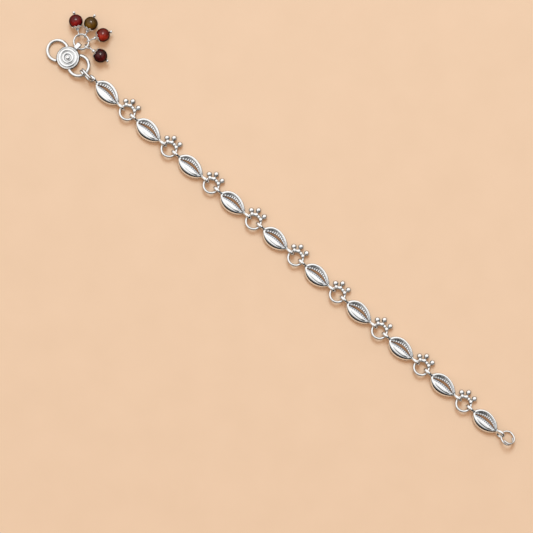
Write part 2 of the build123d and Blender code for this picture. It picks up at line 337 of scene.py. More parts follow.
# The working frame's origin in the row's frame, from the place of the second bead's solid in both
BEAD_2_PLACE = Vector((-25.25, 18.25, BEAD_RADIUS + CLEARANCE / 2))
BEAD_2_LOW, BEAD_2_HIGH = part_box("bead_2")
ORIGIN = (Vector(BEAD_2_LOW) + Vector(BEAD_2_HIGH)) / 2 / MM - BEAD_2_PLACE


# --- Fields: signed distance, in millimetres, from points given as rows of an array ---

def length(vectors):
    return np.sqrt((vectors**2).sum(axis=1))


def smooth_union(a, b, radius):
    """Both solids, with a solder fillet of about that radius where they meet."""
    share = np.clip(0.5 + 0.5 * (b - a) / radius, 0, 1)
    return b + (a - b) * share - radius * share * (1 - share)


def smooth_cut(a, b, radius):
    """What lies in both solids, with its edge rounded by about that radius."""
    return -smooth_union(-a, -b, radius)


def ball(points, centre, radius):
    return length(points - np.array(centre)) - radius


def ring(points, centre, normal, radius, wire, width=None):
    """Round ring of wire of that diameter, or that much wider along its axis, which normal points along."""
    offset = points - np.array(centre)
    normal = np.array(normal) / np.linalg.norm(normal)
    height = offset @ normal
    flat = length(offset - np.outer(height, normal))
    return np.hypot(flat - radius, height * wire / (width or wire)) - wire / 2


def rod(points, start, end, diameter):
    """Straight wire with round ends."""
    start, end = np.array(start), np.array(end)
    along = end - start
    share = np.clip((points - start) @ along / (along @ along), 0, 1)
    return length(points - start - np.outer(share, along)) - diameter / 2


def gradient(field, points, step=0.01):
    """Slope of a field at each point."""
    slope = np.empty_like(points)
    for axis in range(3):
        shift = np.zeros(3)
        shift[axis] = step
        slope[:, axis] = (field(points + shift) - field(points - shift)) / (2 * step)
    return slope


# --- Surface nets: a closed mesh on the zero level of a field ---

CORNERS = [(i, j, k) for i in (0, 1) for j in (0, 1) for k in (0, 1)]
EDGES = [(a, b) for a in CORNERS for b in CORNERS
         if sum(b) - sum(a) == 1 and all(q >= p for p, q in zip(a, b))]
MARGINS = (2.3, 2.6)
RELAX_ROUNDS = 2
PROJECT_ROUNDS = 3
LEAST_SLOPE = 0.05


def sampled(field, low, high, step):
    """Grid of points that covers a box and a margin round it, and the field's value at each."""
    before, after = MARGINS
    axes = [np.arange(low[i] - before * step, high[i] + after * step, step) for i in range(3)]
    grid = np.stack(np.meshgrid(*axes, indexing="ij"), axis=-1)
    return grid, field(grid.reshape(-1, 3)).reshape(grid.shape[:3])


def at_corner(array, corner):
    """Values of a grid at one corner of each of its cells."""
    cells = [n - 1 for n in array.shape[:3]]
    i, j, k = corner
    return array[i:i + cells[0], j:j + cells[1], k:k + cells[2]]


def net_points(grid, values):
    """One point in each cell that the zero level crosses, and each cell's index into those points."""
    inside = values < 0
    filled = sum(at_corner(inside, corner).astype(np.int8) for corner in CORNERS)
    mixed = (filled > 0) & (filled < len(CORNERS))
    index = np.full(mixed.shape, -1)
    index[mixed] = np.arange(mixed.sum())
    total = np.zeros((mixed.sum(), 3))
    crossings = np.zeros(mixed.sum())
    for a, b in EDGES:
        value_a, value_b = at_corner(values, a)[mixed], at_corner(values, b)[mixed]
        crossed = (value_a < 0) != (value_b < 0)
        share = np.where(crossed, value_a / np.where(crossed, value_a - value_b, 1), 0)[:, None]
        point = at_corner(grid, a)[mixed] * (1 - share) + at_corner(grid, b)[mixed] * share
        total += point * crossed[:, None]
        crossings += crossed
    return total / crossings[:, None], index


def net_faces(inside, index):
    """One quad across each grid line that the zero level crosses, facing out."""
    faces = []
    for axis in range(3):
        u, v = (axis + 1) % 3, (axis + 2) % 3
        first = [slice(0, -1) if i == axis else slice(1, -1) for i in range(3)]
        second = [slice(1, None) if i == axis else slice(1, -1) for i in range(3)]
        starts, ends = inside[tuple(first)], inside[tuple(second)]
        for leaving in (True, False):
            base = np.argwhere(starts & ~ends if leaving else ~starts & ends)
            base[:, u] += 1
            base[:, v] += 1
            around = []
            for du, dv in ((0, 0), (-1, 0), (-1, -1), (0, -1)):
                cell = base.copy()
                cell[:, u] += du
                cell[:, v] += dv
                around.append(index[cell[:, 0], cell[:, 1], cell[:, 2]])
            quad = np.stack(around, axis=1)
            faces.append(quad if leaving else quad[:, ::-1])
    return np.concatenate(faces)


def projected(field, points, step):
    """Points moved onto the zero level, by no more than one grid step at a time."""
    for _ in range(PROJECT_ROUNDS):
        slope = gradient(field, points)
        steep = np.maximum((slope**2).sum(axis=1), LEAST_SLOPE)
        move = slope * (field(points) / steep)[:, None]
        tiny = 1e-9
        size = np.maximum(length(move), tiny)
        points = points - move * np.minimum(1, step / size)[:, None]
    return points


def relaxed(points, faces):
    """Points moved halfway to the mean of their neighbours."""
    total = np.zeros_like(points)
    count = np.zeros(len(points))
    for a, b in ((0, 1), (1, 2), (2, 3), (3, 0)):
        for start, end in ((a, b), (b, a)):
            np.add.at(total, faces[:, start], points[faces[:, end]])
            np.add.at(count, faces[:, start], 1)
    return 0.5 * points + 0.5 * total / count[:, None]


def surface(field, low, high, step):
    """Closed quad mesh on the zero level of a field inside a box, as (points, faces)."""
    grid, values = sampled(field, low, high, step)
    points, index = net_points(grid, values)
    faces = net_faces(values < 0, index)
    points = projected(field, points, step)
    for _ in range(RELAX_ROUNDS):
        points = projected(field, relaxed(points, faces), step)
    return points, faces.tolist()


# --- Swept and turned shapes ---

WIRE_SIDES = 24
END_BEVEL = 0.18


def band_faces(rows, steps, closed=True):
    """Quads between rings of points that follow one another; closed joins the last to the first."""
    faces = []
    for row in range(rows if closed else rows - 1):
        after = (row + 1) % rows
        for k in range(steps):
            n = (k + 1) % steps
            faces.append((row * steps + k, row * steps + n, after * steps + n, after * steps + k))
    return faces


def carried_frames(tangents):
    """Two directions across the path at each point, carried along it without twist."""
    normal = np.cross(tangents[0], (0.0, 0.0, 1.0))
    if np.linalg.norm(normal) < 0.1:
        normal = np.cross(tangents[0], (0.0, 1.0, 0.0))
    frames = []
    for tangent in tangents:
        normal = normal - tangent * (normal @ tangent)
        normal = normal / np.linalg.norm(normal)
        frames.append((normal, np.cross(tangent, normal)))
    return frames


def tube(path, radius, closed=False, sides=WIRE_SIDES):
    """Round wire along a path of points; an open one has slightly rounded ends."""
    path = np.array(path, dtype=float)
    if closed:
        tangents = np.roll(path, -1, axis=0) - np.roll(path, 1, axis=0)
    else:
        tangents = np.gradient(path, axis=0)
    tangents /= length(tangents)[:, None]
    frames = carried_frames(tangents)
    stations = [(point, frame_pair, radius) for point, frame_pair in zip(path, frames)]
    if not closed:
        bevel = END_BEVEL * radius
        small = radius - bevel
        start = [(path[0], frames[0], small), (path[0] + tangents[0] * bevel, frames[0], radius)]
        end = [(path[-1] - tangents[-1] * bevel, frames[-1], radius), (path[-1], frames[-1], small)]
        stations = start + stations[1:-1] + end
    angles = [2 * pi * k / sides for k in range(sides)]
    rings = []
    for centre, (u, v), size in stations:
        rings.append([centre + size * (cos(a) * u + sin(a) * v) for a in angles])
    faces = band_faces(len(rings), sides, closed)
    if not closed:
        last = (len(rings) - 1) * sides
        faces.append(tuple(range(sides))[::-1])
        faces.append(tuple(last + k for k in range(sides)))
    return np.array(rings).reshape(-1, 3), faces


def arc(centre, radius, start, turn, count):
    """Points along a flat arc round a centre (x, y, z), from start degrees through turn degrees."""
    angles = [radians(start + turn * k / (count - 1)) for k in range(count)]
    return [(centre[0] + radius * cos(a), centre[1] + radius * sin(a), centre[2]) for a in angles]


def line(start, end, count):
    """Points along a straight run, without its two ends."""
    start, end = np.array(start), np.array(end)
    return [tuple(start + (end - start) * k / (count + 1)) for k in range(1, count + 1)]


def smooth_profile(points, per_span):
    """Profile points with more between them, on a Catmull-Rom curve."""
    pts = [np.array(p, dtype=float) for p in points]
    out = []
    for i in range(len(pts) - 1):
        before = pts[max(i - 1, 0)]
        a, b = pts[i], pts[i + 1]
        after = pts[min(i + 2, len(pts) - 1)]
        for k in range(per_span):
            t = k / per_span
            out.append(0.5 * (2 * a + (b - before) * t + (2 * before - 5 * a + 4 * b - after) * t**2
                              + (3 * a - before - 3 * b + after) * t**3))
    out.append(pts[-1])
    return out


def circles(profile, steps):
    """Points of level circles round Z, one circle for each (radius, height) of a profile."""
    angles = [2 * pi * k / steps for k in range(steps)]
    return [(radius * cos(a), radius * sin(a), height) for radius, height in profile for a in angles]


def turned(profile, steps):
    """Solid of revolution about Z from (radius, height) points that start and end on the axis."""
    inner = profile[1:-1]
    points = [(0.0, 0.0, profile[0][1]), *circles(inner, steps), (0.0, 0.0, profile[-1][1])]
    last = len(points) - 1
    faces = []
    for k in range(steps):
        n = (k + 1) % steps
        faces.append((0, 1 + n, 1 + k))
        faces.append((last, last - steps + k, last - steps + n))
        for row in range(len(inner) - 1):
            low, high = 1 + row * steps, 1 + (row + 1) * steps
            faces.append((low + k, low + n, high + n, high + k))
    return np.array(points), faces


# --- Putting pieces in place ---

def make_mesh(name, points, faces, recess=None):
    """Smooth mesh in metres from points in millimetres; recess says how deep in a hollow each point is."""
    mesh = bpy.data.meshes.new(name)
    mesh.from_pydata([tuple(p) for p in points * MM], [], faces)
    mesh.validate()
    mesh.polygons.foreach_set("use_smooth", [True] * len(mesh.polygons))
    if recess is not None:
        mesh.attributes.new("recess", "FLOAT", "POINT").data.foreach_set("value", recess)
    return mesh


def add_piece(name, points, faces, node, material, place, slot="silver", recess=None):
    """Piece that stands for a CAD node; place moves it from its own frame to the working frame."""
    spot = Matrix.Translation(ORIGIN) @ place
    turn = np.array(spot.to_3x3())
    moved = points @ turn.T + np.array(spot.translation)
    piece = bpy.data.objects.new(name, make_mesh(name, moved, faces, recess))
    bpy.context.collection.objects.link(piece)
    piece.data.materials.append(material)
    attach(piece, "root")
    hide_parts(node)
    return piece


def outward(points, faces):
    """The same faces, all turned so that the solid's volume is positive."""
    volume = 0.0
    for face in faces:
        a = points[face[0]]
        for k in range(1, len(face) - 1):
            volume += np.dot(a, np.cross(points[face[k]], points[face[k + 1]]))
    return faces if volume > 0 else [tuple(face)[::-1] for face in faces]


def fused(name, shells):
    """One closed mesh from several that overlap, as (points, faces) in millimetres."""
    objects = []
    for shell_points, shell_faces in shells:
        mesh = bpy.data.meshes.new(name)
        mesh.from_pydata([tuple(p) for p in shell_points], [], outward(shell_points, shell_faces))
        mesh.validate()
        obj = bpy.data.objects.new(name, mesh)
        bpy.context.collection.objects.link(obj)
        objects.append(obj)
    body = objects[0]
    for other in objects[1:]:
        union = body.modifiers.new("union", "BOOLEAN")
        union.operation = "UNION"
        union.solver = "EXACT"
        union.object = other
    evaluated = body.evaluated_get(bpy.context.evaluated_depsgraph_get())
    result = bpy.data.meshes.new_from_object(evaluated)
    points = np.array([v.co[:] for v in result.vertices])
    faces = [tuple(p.vertices) for p in result.polygons]
    bpy.data.meshes.remove(result)
    for obj in objects:
        mesh = obj.data
        bpy.data.objects.remove(obj)
        bpy.data.meshes.remove(mesh)
    return points, faces


def rotation(x=0.0, y=0.0, z=0.0):
    """Rotation by degrees about X, then Y, then Z."""
    return Euler((radians(x), radians(y), radians(z)), "XYZ").to_matrix().to_4x4()


def translation(x, y, z):
    return Matrix.Translation((x, y, z))


# --- Materials ---

class Nodes:
    """Small helper for building a node tree."""

    def __init__(self, tree):
        self.tree = tree

    def add(self, kind, inputs=None, **settings):
        """New node with its settings and inputs."""
        node = self.tree.nodes.new(kind)
        for name, value in settings.items():
            setattr(node, name, value)
        self.feed(node, inputs or {})
        return node

    def feed(self, node, inputs):
        """Each input is linked to the output given for it, or else set to the value given."""
        for name, value in inputs.items():
            if isinstance(value, bpy.types.NodeSocket):
                self.tree.links.new(value, node.inputs[name])
            else:
                node.inputs[name].default_value = value


def new_material(name):
    """A material, the helper for its nodes, and its shader."""
    material = bpy.data.materials.new(name)
    material.use_nodes = True
    return material, Nodes(material.node_tree), material.node_tree.nodes["Principled BSDF"]


def noise(nodes, vector, grain, distortion=0.0):
    """Noise over a position; grain is its scale and its detail."""
    scale, detail = grain
    inputs = {"Vector": vector, "Scale": scale, "Detail": detail, "Distortion": distortion}
    return nodes.add("ShaderNodeTexNoise", inputs).outputs["Fac"]


def ramp(nodes, source, stops, interpolation="LINEAR"):
    """Colour ramp over a value; stops are (position, colour)."""
    node = nodes.add("ShaderNodeValToRGB", {"Fac": source})
    node.color_ramp.interpolation = interpolation
    while len(node.color_ramp.elements) < len(stops):
        node.color_ramp.elements.new(0.5)
    for element, (position, colour) in zip(node.color_ramp.elements, stops):
        element.position = position
        element.color = (*colour, 1.0)
    return node.outputs["Color"]


def spread(nodes, source, levels, span=(0.0, 1.0), interpolation_type="LINEAR"):
    """Value that goes from one level to another while its source goes over a span."""
    inputs = {"Value": source}
    inputs["From Min"], inputs["From Max"] = span
    inputs["To Min"], inputs["To Max"] = levels
    return nodes.add("ShaderNodeMapRange", inputs, interpolation_type=interpolation_type).outputs["Result"]


def graded(nodes, source, span, levels):
    """Smooth step from one level to another while its source goes over a span."""
    return spread(nodes, source, levels, span, "SMOOTHSTEP")


def mixed(nodes, factor, first, second):
    """Colour between two others."""
    inputs = {"Factor": factor, "A": first, "B": second}
    return nodes.add("ShaderNodeMix", inputs, data_type="RGBA").outputs["Result"]


def compared(nodes, operation, source, direction):
    """Dot product of a vector and a fixed direction, or the distance between them."""
    inputs = {0: source, 1: Vector(direction).normalized()}
    return nodes.add("ShaderNodeVectorMath", inputs, operation=operation).outputs["Value"]


def scaled(nodes, colour, factor):
    """Colour times a value."""
    inputs = {0: colour, "Scale": factor}
    return nodes.add("ShaderNodeVectorMath", inputs, operation="SCALE").outputs["Vector"]


def facing_up(nodes, normal):
    """How far the surface faces up: 1 where it is level, 0 on an upright side."""
    return nodes.add("ShaderNodeSeparateXYZ", {"Vector": normal}).outputs["Z"]


def silver_material(name, flank_shade_colour, gloss_levels):
    """Silver: bright metal with painted shade low on the flanks, and oxidised in a recess."""
    material, nodes, shader = new_material(name)
    place = nodes.add("ShaderNodeTexCoord").outputs["Object"]
    normal = nodes.add("ShaderNodeNewGeometry").outputs["Normal"]
    bright = ramp(nodes, noise(nodes, place, TARNISH_GRAIN), SILVER_TONES)
    # Painted shade: the colour darkens to the flank's shade colour where the surface faces sideways
    unshaded = graded(nodes, facing_up(nodes, normal), FLANK_SHADE_SPAN, (0.0, 1.0))
    recess = nodes.add("ShaderNodeAttribute", attribute_name="recess").outputs["Fac"]
    waves = noise(nodes, place, WAVE_GRAIN)
    bump = nodes.add("ShaderNodeBump", {"Strength": WAVE_STRENGTH, "Distance": WAVE_DEPTH, "Height": waves})
    nodes.feed(shader, {
        "Metallic": 1.0,
        "Base Color": mixed(nodes, recess, mixed(nodes, unshaded, (*flank_shade_colour, 1), bright), (*OXIDE, 1)),
        "Roughness": spread(nodes, noise(nodes, place, SILVER_GLOSS_GRAIN), gloss_levels),
        "Normal": bump.outputs["Normal"],
    })
    return material


def stone_material(name, dark, main, light, offset):
    """Polished mottled stone: painted shade low on its sides, and a painted glow on the side away from the
    key.
    """
    material, nodes, shader = new_material(name)
    place = nodes.add("ShaderNodeTexCoord").outputs["Object"]
    normal = nodes.add("ShaderNodeNewGeometry").outputs["Normal"]
    shifted = nodes.add("ShaderNodeMapping", {"Vector": place, "Location": offset}).outputs["Vector"]
    mottle = noise(nodes, shifted, MOTTLE_GRAIN, MOTTLE_DISTORTION)
    colour = ramp(nodes, mottle, tuple(zip(MOTTLE_STOPS, (dark, main, light))))
    # Painted light: the colour brightens on the side that faces the glow direction, away from the key
    toward = compared(nodes, "DOT_PRODUCT", normal, PAINTED_GLOW_DIRECTION)
    painted_glow = graded(nodes, toward, PAINTED_GLOW_SPAN, (1.0, PAINTED_GLOW_GAIN))
    # Painted shade: the colour darkens low on the sides
    depth = graded(nodes, facing_up(nodes, normal), STONE_EDGE_SHADE_SPAN, (STONE_EDGE_SHADE, 1.0))
    level = nodes.add("ShaderNodeMath", {0: painted_glow, 1: depth}, operation="MULTIPLY").outputs["Value"]
    facing = nodes.add("ShaderNodeLayerWeight").outputs["Facing"]
    nodes.feed(shader, {
        "Base Color": scaled(nodes, colour, level),
        "Roughness": spread(nodes, noise(nodes, place, STONE_GLOSS_GRAIN), STONE_GLOSS),
        "IOR": STONE_IOR,
        "Specular IOR Level": graded(nodes, facing, SHINE_SPAN, SHINE),
    })
    return material


def floor_material():
    """Plain matt peach board."""
    material, nodes, shader = new_material("peach_board")
    place = nodes.add("ShaderNodeTexCoord").outputs["Object"]
    colour = ramp(nodes, noise(nodes, place, FIBRE_GRAIN), FLOOR_TONES)
    nodes.feed(shader, {"Base Color": colour, "Roughness": 0.9, "Specular IOR Level": 0.2})
    return material


# --- Cowrie link ---

def inner_x(points):
    """Each point's X, kept just inside the link's two ends."""
    return np.clip(points[:, 0], LEFT_END + END_INSET, RIGHT_END - END_INSET)


def egg(x, outline):
    """Height of an egg-shaped bow over the link's length; its two powers set how pointed each end is."""
    apex_x, apex_y, left_power, right_power = outline
    left = x < apex_x
    share = np.where(left, (apex_x - x) / (apex_x - LEFT_END), (x - apex_x) / (RIGHT_END - apex_x))
    least = 0.0005
    return apex_y * np.clip(1 - share**2, least, 1) ** np.where(left, left_power, right_power)


def eased(value, start=0.0, span=1.0):
    """Smooth step from 0 to 1 while the value goes over a span from its start."""
    share = np.clip((value - start) / span, 0, 1)
    return share**2 * (3 - 2 * share)


def slot_edges(x):
    """Y of the slot's rim side and dome side."""
    fraction = (x - SLOT_LEFT[0]) / (SLOT_RIGHT[0] - SLOT_LEFT[0])
    chord = SLOT_LEFT[1] + (SLOT_RIGHT[1] - SLOT_LEFT[1]) * fraction
    middle = (SLOT_LEFT[1] + SLOT_RIGHT[1]) / 2
    swell = 4 * fraction * (1 - fraction)
    return chord + (SLOT_RIM_Y - middle) * swell, chord + (SLOT_DOME_Y - middle) * swell


def slope_width(x, outline):
    """How much wider a band of unit width reads along Y where the outline slants."""
    step = 0.05
    slope = (egg(x + step, outline) - egg(x - step, outline)) / (2 * step)
    return np.sqrt(1 + slope**2)


def crest_lines(x):
    """Y of the rim's crest, Y of the dome's crest, and how far each side falls outside its crest."""
    rim_y = egg(x, RIM_OUTLINE)
    dome_y = -egg(x, DOME_OUTLINE)
    wide = RIM_ROLL * slope_width(x, RIM_OUTLINE)
    most = ROLL_SHARE * rim_y + ROLL_LEAST
    roll = wide * most / (wide**4 + most**4) ** 0.25
    dome_crest = dome_y * DOME_CREST_SHARE
    return rim_y - roll, dome_crest, roll, dome_crest - dome_y


def crest_height(x, y, rim_crest, dome_crest):
    """Height of the link's back at a point, before the trough is cut."""
    taper = np.sqrt(np.clip(1 - (x / TAPER_LENGTH) ** 4, 0, 1))
    rim_z = RIM_TIP_Z + (RIM_CREST_Z - RIM_TIP_Z) * taper
    dome_z = DOME_TIP_Z + (DOME_CREST_Z - DOME_TIP_Z) * taper
    return dome_z + (rim_z - dome_z) * eased(y, dome_crest, rim_crest - dome_crest)


def pillow(points):
    """Outer form as an ellipse-like function: 0 on the surface, in no particular unit."""
    x = inner_x(points)
    y, z = points[:, 1], points[:, 2]
    rim_crest, dome_crest, roll, fall = crest_lines(x)
    top = crest_height(x, y, rim_crest, dome_crest)
    foot = FOOT_Z + (top - RIM_ROLL - FOOT_Z) * eased(y, dome_crest, rim_crest - dome_crest)
    past_dome = np.where(y < dome_crest, (dome_crest - y) / fall, 0)
    outside = np.where(y > rim_crest, (y - rim_crest) / roll, past_dome)
    tuck = 1 + FOOT_TUCK * (np.clip(foot - z, 0, None) / foot) ** 2
    up = np.clip(z - foot, 0, None) / (top - foot)
    past_left = np.clip(LEFT_END + END_ROUND - points[:, 0], 0, None)
    past_right = np.clip(points[:, 0] - RIGHT_END + END_ROUND, 0, None)
    end = np.maximum(past_left, past_right) / END_ROUND
    tiny = 1e-6
    return np.sqrt((outside * tuck) ** 2 + up**2 + end**2 + tiny) - 1


def pillow_distance(points):
    """Outer form as an approximate distance."""
    step, least_slope = 0.02, 0.15
    slope = length(gradient(pillow, points, step))
    return pillow(points) / np.maximum(slope, least_slope)


def ribs(x):
    """Rounded ribs along the lips: 1 on a rib's back, 0 in the groove between two."""
    return np.sin(pi * x / RIB_PITCH) ** 2


def rim_lip_height(y, rim_crest, rim_edge, roll):
    """Height of the trough on the rim's side: a round step below the crest, then a lip to the slot."""
    step_wide = STEP_WIDTH * roll / RIM_ROLL
    in_step = np.clip((rim_crest - y) / step_wide, 0, 1)
    round_step = (1 - np.sqrt(1 - (STEP_ARC * in_step) ** 2)) / (1 - sqrt(1 - STEP_ARC**2))
    step_foot = rim_crest - step_wide
    down = np.clip((step_foot - y) / np.maximum(step_foot - rim_edge, LEAST_SPAN), 0, 2)
    foot_z = RIM_CREST_Z - STEP_DROP
    return RIM_CREST_Z - STEP_DROP * round_step - (foot_z - RIM_LIP_Z) * down


def dome_lip_height(y, dome_crest, dome_edge):
    """Height of the trough on the dome's side: level at the crest and steepest at the slot."""
    up = np.clip((dome_edge - y) / np.maximum(dome_edge - dome_crest, LEAST_SPAN), -1, 1)
    top = DOME_CREST_Z + TROUGH_MARGIN
    curve = top - (top - DOME_LIP_Z) * (1 - up) ** 2
    return curve + TROUGH_CLIMB * np.clip(dome_crest - y, 0, None)


def trough_height(x, y):
    """Height of the ribbed trough between the two crests."""
    rim_edge, dome_edge = slot_edges(x)
    rim_crest, dome_crest, roll, _ = crest_lines(x)
    rim_side = y > (rim_edge + dome_edge) / 2
    rim_z = rim_lip_height(y, rim_crest, rim_edge, roll)
    height = np.where(rim_side, rim_z, dome_lip_height(y, dome_crest, dome_edge))
    from_edge = np.where(rim_side, y - rim_edge, dome_edge - y)
    reach = np.where(rim_side, RIM_RIB_REACH, DOME_RIB_REACH)
    depth = np.where(rim_side, RIM_RIB_DEPTH, DOME_RIB_DEPTH)
    height = height - depth * (1 - eased(from_edge / reach, RIB_FADE, RIB_FADE)) * (1 - ribs(x))
    near = np.where(x < 0, TROUGH_LEFT[0], TROUGH_RIGHT[0])
    far = np.where(x < 0, TROUGH_LEFT[1], TROUGH_RIGHT[1])
    back = crest_height(x, y, rim_crest, dome_crest)
    return back - (back - height) * eased((far - np.abs(x)) / (far - near))


def trough_distance(points):
    """Solid below the trough, as an approximate distance."""
    x, y, z = points.T
    step = 0.02
    height = trough_height(x, y)
    slope_x = (trough_height(x + step, y) - trough_height(x - step, y)) / (2 * step)
    slope_y = (trough_height(x, y + step) - trough_height(x, y - step)) / (2 * step)
    return (z - height) / np.sqrt(1 + slope_x**2 + slope_y**2)


def slot_distance(points):
    """Solid outside the slot, as an approximate distance."""
    x, y = points[:, 0], points[:, 1]
    rim_edge, dome_edge = slot_edges(x)
    scallop = SLOT_SCALLOP * (ribs(x) - 0.5)
    gap = np.maximum(y - (rim_edge - scallop), (dome_edge + scallop) - y)
    for (end_x, end_y), inward, radius in zip((SLOT_LEFT, SLOT_RIGHT), (1, -1), SLOT_END_RADII):
        drilled = np.hypot(x - end_x - inward * SLOT_END_INSET * radius, y - end_y) - radius
        gap = smooth_union(gap, drilled, SLOT_END_FILLET)
    return -gap


def cowrie_field(left_lean, right_lean):
    """Field of one cowrie link with its two loops."""
    def field(points):
        body = smooth_cut(pillow_distance(points), trough_distance(points), TROUGH_EDGE)
        body = smooth_cut(body, slot_distance(points), SLOT_EDGE)
        for side, lean in ((-1, left_lean), (1, right_lean)):
            normal = (0, -cos(radians(lean)), sin(radians(lean)))
            loop = ring(points, (side * LOOP_X, 0, LOOP_Z), normal, LOOP_RADIUS, LOOP_WIRE, LOOP_WIDTH)
            boss = ball(points, (side * TIP_BOSS_X, 0, TIP_BOSS_Z), TIP_BOSS_RADIUS)
            body = smooth_union(body, smooth_union(loop, boss, BOSS_FILLET), LOOP_FILLET)
        return smooth_cut(body, -points[:, 2], SOLE_EDGE)
    return field


def cowrie_mesh(left_lean=0.0, right_lean=0.0):
    reach = LOOP_X + LOOP_RADIUS + LOOP_WIRE / 2
    low, high = (-reach, -COWRIE_HALF_WIDTH, 0.0), (reach, COWRIE_HALF_WIDTH, COWRIE_TOP)
    return surface(cowrie_field(left_lean, right_lean), low, high, COWRIE_STEP)


def hollowness(points):
    """How dark the oxide lies on each point of a cowrie: fully on the dome's ribs, in part on the rim's."""
    x = inner_x(points)
    y, z = points[:, 1], points[:, 2]
    rim_crest, dome_crest, _, _ = crest_lines(x)
    rim_edge, dome_edge = slot_edges(x)
    below_crests = eased(crest_height(x, y, rim_crest, dome_crest) - z, *OXIDE_DEPTH)
    on_rim = RIM_OXIDE * below_crests * eased(rim_crest - y, span=RIM_OXIDE_FADE)
    on_dome = eased(y - dome_edge, -OXIDE_REACH, OXIDE_REACH / 2)
    rim_side = eased(y - dome_edge, span=np.maximum(rim_edge - dome_edge, LEAST_SPAN))
    above_slot = eased(z, *OXIDE_HEIGHT)
    within = eased(SLOT_RIGHT[0] - np.abs(points[:, 0]), span=OXIDE_REACH)
    return (rim_side * on_rim + (1 - rim_side) * on_dome) * above_slot * within


def link_places():
    """Place of each cowrie along the chain."""
    places = []
    for index in range(LINK_COUNT):
        before, after = max(index - 1, 0), min(index + 1, LINK_COUNT - 1)
        rise = LAY_OFFSETS[after] - LAY_OFFSETS[before]
        yaw = degrees(atan2(rise, (after - before) * LINK_PITCH))
        if index == 0:
            yaw = FIRST_LINK_YAW
        places.append(translation(index * LINK_PITCH, LAY_OFFSETS[index], 0) @ rotation(z=yaw))
    return places


def add_cowries(material):
    """Cowries that are alike, except for a leaning loop at each end of the chain."""
    first, last = cowrie_mesh(left_lean=FIRST_LOOP_LEAN), cowrie_mesh(right_lean=LAST_LOOP_LEAN)
    meshes = [first] + [cowrie_mesh()] * (LINK_COUNT - 2) + [last]
    for number, (mesh, place) in enumerate(zip(meshes, link_places()), start=1):
        name, node = f"cast_cowrie_{number:02d}", f"cowrie_link_{number:02d}"
        add_piece(name, *mesh, node, material, place, recess=hollowness(mesh[0]))


# --- Flower rings ---

def polar(angle, reach):
    """Point in the plane of the ring, from its angle in degrees and its distance from the middle."""
    return (reach * cos(radians(angle)), reach * sin(radians(angle)), 0)


def flower_field(points):
    """Field of a ring with its three granulated prongs."""
    field = ring(points, (0, 0, 0), (0, 0, 1), FLOWER_RADIUS, FLOWER_WIRE)
    for angle in ARC_GRANULES:
        granule = ball(points, polar(angle, ARC_GRANULE_REACH), ARC_GRANULE_RADIUS)
        field = smooth_union(field, granule, BALL_FILLET)
    for granule_angle, granule_reach, ball_angle, ball_reach in PRONGS:
        granule = ball(points, polar(granule_angle, granule_reach), GRANULE_RADIUS)
        end = ball(points, polar(ball_angle, ball_reach), BALL_RADIUS)
        field = smooth_union(smooth_union(field, granule, GRANULE_FILLET), end, BALL_FILLET)
    return field


def add_flower_rings(material):
    """One ring between each cowrie and the next."""
    mesh = surface(flower_field, FLOWER_LOW, FLOWER_HIGH, FLOWER_STEP)
    for index in range(LINK_COUNT - 1):
        rise = LAY_OFFSETS[index + 1] - LAY_OFFSETS[index]
        yaw = degrees(atan2(rise, LINK_PITCH))
        shift_x, shift_y = FLOWER_SHIFT
        x = (index + 0.5) * LINK_PITCH + shift_x
        middle = translation(x, LAY_OFFSETS[index] + rise / 2 + shift_y, FLOWER_Z)
        place = middle @ rotation(z=yaw) @ rotation(x=FLOWER_TILT)
        name, node = f"granulated_ring_{index + 1:02d}", f"flower_ring_{index + 1:02d}"
        add_piece(name, *mesh, node, material, place)


# --- S-hook ---

def hook_path():
    """Centre line of the S, in the hook's own frame."""
    leave = degrees(atan2(sqrt(HOOK_LOOP_X**2 - HOOK_LOOP_RADIUS**2), HOOK_LOOP_RADIUS))
    turn = HOOK_END_ANGLE + 360 - (leave + 180)
    left = arc((-HOOK_LOOP_X, 0, 0), HOOK_LOOP_RADIUS, leave + turn, -turn, count=90)
    right = arc((HOOK_LOOP_X, 0, 0), HOOK_LOOP_RADIUS, leave + 180, turn, count=90)
    return left + line(left[-1], right[0], count=24) + right


def bail_section():
    """Rounded rectangle, as (width, wall, 0) points."""
    section = []
    for side_x, side_y, start in ((1, 1, 0), (-1, 1, 90), (-1, -1, 180), (1, -1, 270)):
        centre = (side_x * (BAIL_WIDTH / 2 - BAIL_CORNER), side_y * (BAIL_WALL / 2 - BAIL_CORNER), 0)
        section += arc(centre, BAIL_CORNER, start, turn=90, count=4)
    return section


def bail_mesh():
    """Strip loop: its section swept round a flattened loop in the YZ plane."""
    end_radius = (BAIL_HEIGHT - BAIL_WALL) / 2
    straight = (BAIL_LENGTH - BAIL_HEIGHT) / 2
    spine = arc((straight, 0, 0), end_radius, -90, turn=180, count=16)
    spine += arc((-straight, 0, 0), end_radius, 90, turn=180, count=16)
    section = bail_section()
    points = []
    for k, middle in enumerate(spine):
        ahead, behind = np.array(spine[(k + 1) % len(spine)]), np.array(spine[k - 1])
        tangent = (ahead - behind) / np.linalg.norm(ahead - behind)
        across = np.array((tangent[1], -tangent[0], 0))
        for width, wall, _ in section:
            flat = np.array(middle) + across * wall
            points.append((width, BAIL_Y + flat[0], BAIL_Z + flat[1]))
    return np.array(points), band_faces(len(spine), len(section))


